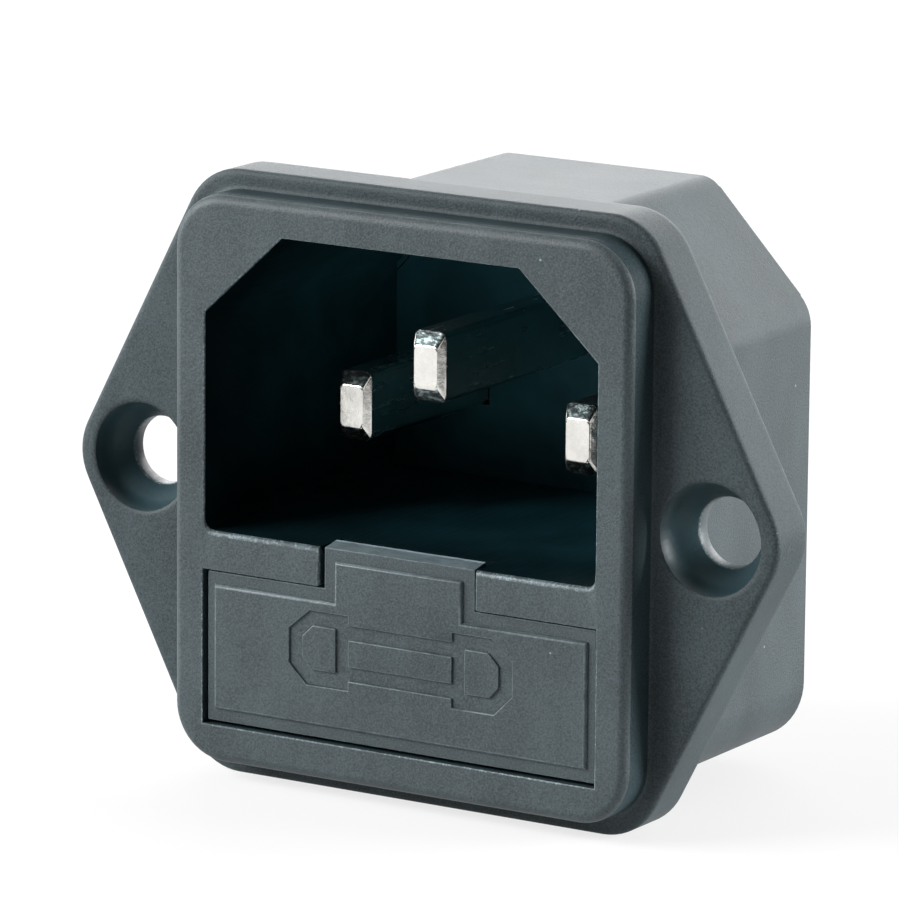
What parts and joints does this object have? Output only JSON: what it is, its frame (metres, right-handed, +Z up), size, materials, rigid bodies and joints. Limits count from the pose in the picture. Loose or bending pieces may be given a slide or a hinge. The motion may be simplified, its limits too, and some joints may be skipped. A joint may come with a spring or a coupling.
{
  "type": "power entry module",
  "caption": "Panel-mount mains inlet socket with flat pins, screw flange and a pull-out fuse drawer below the socket.",
  "frame": {"origin": "midway between the two screw holes, on the rear face of the flange, which meets the panel", "axes": "+X to the right seen from the front, +Y back through the panel, +Z up with the fuse drawer below the socket"},
  "size_m": [0.0442, 0.0277, 0.0337],
  "materials": {
    "housing_plastic": "fine spark-eroded texture",
    "base_plastic": "matt",
    "drawer_plastic": "fine spark-eroded texture",
    "pin_nickel": "bright nickel plate",
    "link_brass": "tinned brass",
    "clip_brass": "tinned spring brass",
    "rivet_metal": "nickel plate",
    "fuse_glass": "clear",
    "fuse_cap": "nickel plate",
    "fuse_wire": "bright wire"
  },
  "bodies": {
    "base": {"housing": "housing_plastic", "terminal_base": "base_plastic", "earth_pin": "pin_nickel", "neutral_pin": "pin_nickel", "line_pin": "pin_nickel", "line_link": "link_brass", "line_terminal": "link_brass", "fuse_clip_left": "clip_brass", "fuse_clip_right": "clip_brass", "clip_rivet_left": "rivet_metal", "clip_rivet_right": "rivet_metal"},
    "drawer": {"fuse_drawer": "drawer_plastic", "fuse_tube": "fuse_glass", "fuse_cap_left": "fuse_cap", "fuse_cap_right": "fuse_cap", "fuse_wire": "fuse_wire", "spare_fuse_tube": "fuse_glass", "spare_fuse_cap_left": "fuse_cap", "spare_fuse_cap_right": "fuse_cap", "spare_fuse_wire": "fuse_wire"}
  },
  "joints": [
    {"name": "drawer_slide", "type": "slide", "parent": "base", "child": "drawer", "axis": [0, -1, 0], "range_m": [0, 0.012]}
  ]
}
